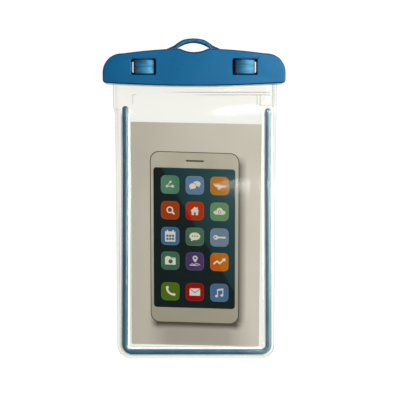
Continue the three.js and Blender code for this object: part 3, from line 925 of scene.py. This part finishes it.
def draw_plane(white, dark):
    white.shape((-4.3, 1.6), (-3.5, 1.6), (-2.4, 0.6), (3.6, 0.3), (4.6, -0.2), (3.9, -0.8), (-2.6, -0.7))
    white.shape((-1.6, 0.3), (-1.9, 1.7), (-1.1, 1.7), (1.0, 0.3))
    white.shape((-0.6, -0.3), (-1.2, -2.6), (-0.3, -2.6), (2.2, -0.3))


def draw_search(white, dark):
    white.ring(-0.2, 0.3, 1.9, 0.8)
    white.bar((1.2, -1.0), (2.9, -2.6), 1.1)


def draw_house(white, dark):
    white.shape((0.0, 2.9), (3.1, 0.0), (2.2, 0.0), (2.2, -2.8), (-2.2, -2.8), (-2.2, 0.0), (-3.1, 0.0))
    white.shape((1.1, 2.6), (1.9, 2.6), (1.9, 1.0), (1.1, 1.6))
    dark.shape((-0.6, -2.9), (0.6, -2.9), (0.6, -0.9), (-0.6, -0.9))


def draw_cloud(white, dark):
    white.oval(-2.4, -0.6, 1.6, 1.3)
    white.oval(0.1, 0.7, 2.1, 2.0)
    white.oval(2.4, -0.5, 1.6, 1.4)
    white.bar((-2.5, -1.2), (2.6, -1.2), 1.5)
    dark.ring(0.1, -0.1, 0.9, 0.35)


def draw_calendar(white, dark):
    white.bar((-3.5, -0.3), (3.5, -0.3), 7.0)
    white.bar((-1.9, 2.6), (-1.9, 4.2), 0.9)
    white.bar((1.9, 2.6), (1.9, 4.2), 0.9)
    for x in (-1.9, 0.0, 1.9):
        for y in (0.2, -1.9):
            dark.bar((x - 0.75, y), (x + 0.75, y), 1.5)


def draw_message(white, dark):
    white.oval(0.0, 0.3, 3.7, 2.6)
    white.shape((-2.4, -1.0), (-2.6, -3.2), (-0.4, -2.0))
    for x in (-1.6, 0.0, 1.6):
        dark.oval(x, 0.4, 0.45, 0.45)


def draw_key(white, dark):
    white.shape((-4.4, 0.0), (-3.2, 1.5), (-1.8, 1.5), (-0.6, 0.5), (4.2, 0.6), (4.2, -0.6), (-0.6, -0.5),
                (-1.8, -1.5), (-3.2, -1.5))
    dark.oval(-2.9, 0.0, 0.6, 0.6)


def draw_camera(white, dark):
    white.bar((-3.6, -0.2), (3.6, -0.2), 5.0)
    white.bar((-2.9, 2.5), (-0.2, 2.5), 1.1)
    dark.oval(0.2, -0.5, 1.5, 1.5)
    dark.bar((0.6, 1.9), (3.6, 1.9), 0.3)


def draw_map(white, dark):
    white.ring(0.2, 2.2, 1.25, 0.9)
    white.shape((-1.2, 1.3), (0.2, -1.0), (1.6, 1.3))
    white.line(0.45, (-3.5, -2.9), (-1.8, -1.6), (-0.6, -2.4), (0.8, -1.6), (2.4, -1.7), (3.6, -2.6))
    white.line(0.4, (-2.6, -2.9), (0.2, -2.8), (2.4, -2.8))
    dark.oval(0.2, 2.1, 0.5, 0.6)


def draw_arrow(white, dark):
    white.line(1.0, (-4.0, -1.5), (-1.6, 0.6), (0.2, -0.9), (3.4, 1.9))
    white.shape((4.2, 2.7), (1.6, 2.4), (4.0, 0.2))


def draw_handset(white, dark):
    white.line(1.35, (-2.2, 2.8), (-2.2, 1.3), (-1.2, -0.6), (0.6, -1.9), (2.6, -2.3))
    white.bar((-2.9, 2.2), (-1.3, 3.1), 1.6)
    white.bar((1.6, -1.6), (3.2, -2.6), 1.6)


def draw_envelope(white, dark):
    white.bar((-3.6, 0.0), (3.6, 0.0), 5.0)
    dark.line(0.45, (-3.6, 2.2), (0.0, -0.5), (3.6, 2.2))


def draw_notes(white, dark):
    white.oval(-1.9, -2.4, 1.0, 0.8)
    white.oval(1.7, -1.8, 1.0, 0.8)
    white.bar((-1.2, -2.4), (-1.2, 2.0), 0.6)
    white.bar((2.4, -1.8), (2.4, 2.6), 0.6)
    white.shape((-1.5, 1.2), (2.7, 1.9), (2.7, 3.1), (-1.5, 2.4))


TILE_SIGNS = (
    (draw_share, draw_talk, draw_plane),
    (draw_search, draw_house, draw_cloud),
    (draw_calendar, draw_message, draw_key),
    (draw_camera, draw_map, draw_arrow),
    (draw_handset, draw_envelope, draw_notes),
)


def card_pieces(inks):
    """The card and the fields of colour printed on it: a generic drawing of a phone with tiles."""
    card = rounded_plate("printed_card", 0, 0, CARD_WIDTH, CARD_HEIGHT, 0.001, CARD_THICKNESS, 40)
    turn_on_card(card)
    card.data.materials.append(inks["card"])
    pieces = [card]

    def field(name, x, y, width, height, radius, level, ink, cuts=0):
        piece = rounded_plate(name, x, y, width, height, radius, INK, cuts)
        lay_print(piece, level)
        piece.data.materials.append(inks[ink])
        pieces.append(piece)

    field("print_phone_line", 0, 0, PHONE_WIDTH, PHONE_HEIGHT, 0.0061, 0, "line", 32)
    field("print_phone_face", 0, 0, PHONE_WIDTH - PHONE_RIM, PHONE_HEIGHT - PHONE_RIM, 0.0058, 1, "face", 32)
    field("print_screen", -0.0002, -0.0002, SCREEN_WIDTH, SCREEN_HEIGHT, 0.0021, 2, "screen", 28)
    field("print_speaker", 0.0002, 0.0525, 0.0122, 0.0011, 0.0005, 2, "line")
    for y, names, signs in zip(TILE_ROWS, TILE_INKS, TILE_SIGNS):
        for x, ink, draw in zip(TILE_COLUMNS, names, signs):
            label = draw.__name__.replace("draw_", "")
            field("print_tile_" + label, x, y, TILE, TILE, 0.0031, 3, ink, 4)
            edge_band(pieces[-1], inks["edge_" + ink])
            white = Sign("print_sign_" + label, (x, y))
            dark = Sign("print_detail_" + label, (x, y))
            draw(white, dark)
            pieces.append(white.inked(4, inks["white"]))
            if dark.shapes:
                pieces.append(dark.inked(5, inks[ink]))
    return pieces


# The clip

# How far the lower and the upper end of a moulding hole are drawn in under the hook.
HOLE_DRAW_LOW = 0.0019
HOLE_DRAW_HIGH = 0.0006
JAW_EDGE = HINGE_Y + 0.0033


def smooth_copy(node, name):
    """Copy of a jaw with its doubles merged, shaded smooth over its rounded edges."""
    data = frame["nodes"][node].data.copy()
    data.name = name
    data.materials.clear()
    piece = bring_in(name, data)
    edit(piece, "SELECT")
    bpy.ops.mesh.remove_doubles(threshold=0.000002)
    bpy.ops.object.mode_set(mode="OBJECT")
    bpy.ops.object.shade_smooth_by_angle(angle=math.radians(38))
    even = piece.modifiers.new("even", "WEIGHTED_NORMAL")
    even.keep_sharp = True
    finish_modifiers(piece)
    return piece


def close_under_hooks(piece):
    """Draws the ends of the moulding holes in under the hooks, so that no light shows past them."""
    middle_y = HINGE_Y - (MOULDING_HOLES[2] + MOULDING_HOLES[3]) / 2
    for vertex in piece.data.vertices:
        if vertex.co.z < MOULDING_HOLES_Z and in_reach(vertex.co, MOULDING_HOLES):
            vertex.co.y += HOLE_DRAW_LOW if vertex.co.y < middle_y else -HOLE_DRAW_HIGH


def finish_faces(piece, material, belongs):
    """Gives the faces that belong a finish of their own."""
    piece.data.materials.append(material)
    slot = len(piece.data.materials) - 1
    for face in piece.data.polygons:
        if belongs(face):
            face.material_index = slot


LOOP_CENTRE = -0.0005
LOOP_FOOT = HINGE_Y + 0.0035
LOOP_MIDDLE_Z = 0.0015
LOOP_HALF_HEIGHT = 0.0015
LOOP_STEPS = 96
LOOP_CORNERS = 24
EYE_HALF = 0.0103
EYE_END = HINGE_Y + 0.0045
EYE_RISE = 0.0033
BELL = (
    (0.0, 0.0075),
    (0.0052, 0.0070),
    (0.0080, 0.0061),
    (0.0106, 0.0045),
    (0.0129, 0.0028),
    (0.0155, 0.0016),
    (0.0178, 0.0006),
    (0.0205, -0.0004),
    (0.0230, -0.0030),
)


def bell(away):
    """Height of the loop's outer line over its foot, by a smooth curve through the drawn points."""
    for index in range(len(BELL) - 1):
        (x1, y1), (x2, y2) = BELL[index:index + 2]
        if away <= x2:
            before = BELL[index - 1] if index else (-x2, y2)
            after = BELL[index + 2] if index + 2 < len(BELL) else (x2 + x2 - x1, y2 + y2 - y1)
            leave = (y2 - before[1]) / (x2 - before[0]) * (x2 - x1)
            arrive = (after[1] - y1) / (after[0] - x1) * (x2 - x1)
            t = (away - x1) / (x2 - x1)
            rest = (t ** 3 - 2 * t ** 2 + t) * leave + (t ** 3 - t ** 2) * arrive
            return (2 * t ** 3 - 3 * t ** 2 + 1) * y1 + (3 * t ** 2 - 2 * t ** 3) * y2 + rest
    return BELL[-1][1]


def eye_line(away):
    """Upper edge of the loop's eye, which drops into the jaw beyond the eye's ends."""
    if away < EYE_HALF:
        return EYE_END + EYE_RISE * (1 - (away / EYE_HALF) ** 2)
    return EYE_END - 0.005 * smooth(away, EYE_HALF, EYE_HALF + 0.0012)


def carrying_loop():
    """The loop as a rounded bar: an oval section between the bell and the eye, swept from side to side."""
    reach = BELL[-2][0]
    turns = [math.tau * corner / LOOP_CORNERS for corner in range(LOOP_CORNERS)]
    rings = []
    for step in range(LOOP_STEPS + 1):
        along = blend(-reach, reach, step / LOOP_STEPS)
        outer = LOOP_FOOT + bell(abs(along))
        inner = min(eye_line(abs(along)), outer - 0.001)
        ring = []
        for turn in turns:
            y = (outer + inner) / 2 + (outer - inner) / 2 * math.cos(turn)
            z = LOOP_MIDDLE_Z + LOOP_HALF_HEIGHT * math.sin(turn)
            ring.append((LOOP_CENTRE + along, y, z))
        rings.append(ring)
    # The side value is 1 at the bar's outer and inner edges, where loop_plastic paints shade.
    return swept("carrying_loop", rings, "side", [abs(math.cos(turn)) for turn in turns] * len(rings))


def cut_plain_loop(piece):
    """Takes the plain loop off the jaw's copy at the jaw's upper edge, for the rounded bar's place."""
    edit(piece, "SELECT")
    bpy.ops.mesh.bisect(plane_co=(0, JAW_EDGE, 0), plane_no=(0, 1, 0), clear_outer=True, use_fill=True)
    bpy.ops.object.mode_set(mode="OBJECT")


# How far up a face of the jaws looks, from 0 for an upright wall to 1 for a level face.
WALL_FACE = 0.3
FLAT_FACE = 0.93


def on_wall(face):
    return abs(face.normal.z) < WALL_FACE


def on_rim(face):
    return WALL_FACE < abs(face.normal.z) < FLAT_FACE


def on_hook(face):
    return face.center.z > HOOK_HEADS_Z and in_reach(face.center, HOOK_HEADS)


def on_window_edge(face):
    leans = abs(face.normal.z) < FLAT_FACE
    return leans and face.center.z > WINDOW_EDGES_Z and in_reach(face.center, WINDOW_EDGES)


def put(piece, body, slot, *nodes):
    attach(piece, body)
    if nodes:
        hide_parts(*nodes)


def dress_node(node, material):
    for slot in frame["nodes"][node].material_slots:
        slot.material = material


blue = clip_plastic()
back_shell = smooth_copy("clip_back_jaw", "back_jaw_shell")
back_shell.data.materials.append(blue)
cut_plain_loop(back_shell)
close_under_hooks(back_shell)
# The upright walls come smooth and bright from the mould. The rounded edges get painted shade, a dark navy,
# and the windows' edges get painted shade too, a deeper blue than the plate round them.
polished = moulded_plastic("wall_polished_plastic", 28.0, (17, 93, 138), (23, 100, 146), (0.1, 0.14), 0.9)
dark = moulded_plastic("rim_dark_plastic", 60.0, (3, 54, 92), (8, 66, 108), (0.3, 0.36), 0.12)
window_edge_shade = moulded_plastic("frame_deep_plastic", 60.0, (8, 84, 134), (16, 94, 146), (0.4, 0.46), 0.1)
finish_faces(back_shell, polished, on_wall)
finish_faces(back_shell, dark, on_rim)
finish_faces(back_shell, hook_plastic(), on_hook)
put(back_shell, "pouch", "clip_plastic", "clip_back_jaw")
loop = carrying_loop()
loop.data.materials.append(loop_plastic())
put(loop, "pouch", "clip_plastic")
front_shell = smooth_copy("clip_front_jaw", "front_jaw_shell")
front_shell.data.materials.append(blue)
finish_faces(front_shell, polished, on_wall)
finish_faces(front_shell, dark, on_rim)
# Painted shade on the edges of the front jaw's windows.
finish_faces(front_shell, window_edge_shade, on_window_edge)
put(front_shell, "front_jaw", "clip_plastic", "clip_front_jaw")
steel = pin_steel()
dress_node("hinge_pin_left", steel)
dress_node("hinge_pin_right", steel)
dress_node("seal_strip", seal_rubber())

film = clear_film()
front_film = film_sheet("front_film_sheet", True)
front_film.data.materials.append(film)
put(front_film, "pouch", "clear_film", "film_front")
back_film = film_sheet("back_film_sheet", False)
back_film.data.materials.append(film)
put(back_film, "pouch", "clear_film", "film_back")
piping = piping_rod()
piping.data.materials.append(piping_plastic())
put(piping, "pouch", "piping_plastic", "piping")

# The two tones of each ink, as screen colours.
INKS = {
    "line": ((60, 53, 43), (68, 61, 51)),
    "white": ((202, 198, 186), (192, 188, 175)),
    "green": ((55, 99, 76), (74, 120, 94)),
    "slate": ((80, 107, 139), (88, 115, 147)),
    "amber": ((159, 97, 0), (164, 103, 0)),
    "rust": ((139, 50, 0), (146, 54, 0)),
    "red": ((155, 0, 0), (155, 40, 4)),
    "leaf": ((78, 118, 78), (86, 126, 86)),
    "blue": ((59, 94, 130), (53, 88, 124)),
    "sage": ((57, 90, 69), (65, 97, 74)),
    "steel": ((90, 111, 130), (97, 118, 138)),
    "teal": ((50, 92, 71), (57, 99, 76)),
    "purple": ((57, 40, 84), (67, 48, 94)),
    "orange": ((174, 78, 0), (168, 94, 0)),
    "lime": ((67, 96, 3), (73, 103, 6)),
    "crimson": ((136, 0, 0), (128, 0, 0)),
    "sky": ((63, 97, 134), (57, 92, 128)),
}
inks = {}
for name, tones in INKS.items():
    split = name in ("red", "orange")
    inks[name] = printed_ink("print_" + name, rgb(*tones[0]), rgb(*tones[1]), split)
    pale = [rgb(*(blend(value, 205, 0.14) for value in tone)) for tone in tones]
    inks["edge_" + name] = printed_ink("print_edge_" + name, pale[0], pale[1], split)
inks["card"] = card_paper()
inks["screen"] = screen_ink()
inks["face"] = case_ink()
card, *prints = card_pieces(inks)
put(card, "pouch", "card", "insert_card")
for piece in prints:
    put(piece, "pouch", "card")


# Floor, light and camera

CAMERA_DISTANCE = 0.5
CAMERA_TILT = math.radians(4.4)


def white_floor():
    """Floor that looks evenly white by itself and takes only faint shadows."""
    nodes = Nodes("white_floor")
    lit = nodes.surface(rgb(98, 98, 98), 0.9)
    glow = nodes.add("ShaderNodeEmission")
    glow.inputs["Color"].default_value = (1, 1, 1, 1)
    path = nodes.add("ShaderNodeLightPath")
    seen = nodes.larger(path.outputs["Is Camera Ray"], path.outputs["Is Glossy Ray"])
    seen = nodes.larger(seen, path.outputs["Is Transmission Ray"])
    nodes.link(nodes.scaled(seen, 0.0, 0.92), glow.inputs["Strength"])
    both = nodes.add("ShaderNodeAddShader")
    nodes.link(lit, both.inputs[0])
    nodes.link(glow.outputs[0], both.inputs[1])
    material = nodes.done(both.outputs[0])
    deselect()
    bpy.ops.mesh.primitive_plane_add(size=6, location=(0, 0, -0.0002))
    floor = settle(bpy.context.object, "studio_floor")
    floor.data.materials.append(material)


def soft_world():
    """White surroundings, dim on the left and brighter towards the right."""
    world = bpy.data.worlds.new("soft_white")
    bpy.context.scene.world = world
    world.use_nodes = True
    tree = world.node_tree
    back = tree.nodes["Background"]
    place = tree.nodes.new("ShaderNodeTexCoord")
    lean = tree.nodes.new("ShaderNodeVectorMath")
    lean.operation = "DOT_PRODUCT"
    lean.inputs[1].default_value = (0.95, 0.3, 0.0)
    rise = tree.nodes.new("ShaderNodeMapRange")
    rise.interpolation_type = "SMOOTHSTEP"
    for key, number in (("From Min", -0.1), ("From Max", 0.32), ("To Min", 0.1), ("To Max", 0.8)):
        rise.inputs[key].default_value = number
    tree.links.new(place.outputs["Generated"], lean.inputs[0])
    tree.links.new(lean.outputs["Value"], rise.inputs["Value"])
    tree.links.new(rise.outputs["Result"], back.inputs["Strength"])
    back.inputs["Color"].default_value = (1, 1, 1, 1)


def lamp(name, place, target, size, energy):
    data = bpy.data.lights.new(name, "AREA")
    data.shape = "RECTANGLE"
    data.size, data.size_y = size
    data.energy = energy
    light = bring_in(name, data)
    light.location = place
    aim = Vector(target) - Vector(place)
    light.rotation_euler = aim.to_track_quat("-Z", "Y").to_euler()


def top_camera():
    """Camera over the pouch's middle, leaning a little towards its bottom edge."""
    data = bpy.data.cameras.new("camera")
    data.sensor_width = 36
    data.lens = 66.2
    data.clip_start = 0.01
    camera = bring_in("camera", data)
    rise = CAMERA_DISTANCE * math.cos(CAMERA_TILT)
    camera.location = (0.00386, 0.0005 + CAMERA_DISTANCE * math.sin(CAMERA_TILT), rise)
    camera.rotation_euler = (-CAMERA_TILT, 0, 0)
    bpy.context.scene.camera = camera


white_floor()
soft_world()
lamp("left_softbox", (-0.85, 0.3, 0.75), (0, 0, 0), (0.6, 0.9), 1.5)
lamp("right_softbox", (0.46, 0.10, 0.42), (0, 0, 0), (0.55, 0.8), 5.5)
# The panel mirrors in the front film, as the glare over the phone's upper right tile.
lamp("overhead_panel", (0.1, -0.022, 1.0), (0.1, -0.022, 0), (0.11, 0.05), 0.22)
top_camera()
bpy.context.scene.view_settings.view_transform = "Standard"
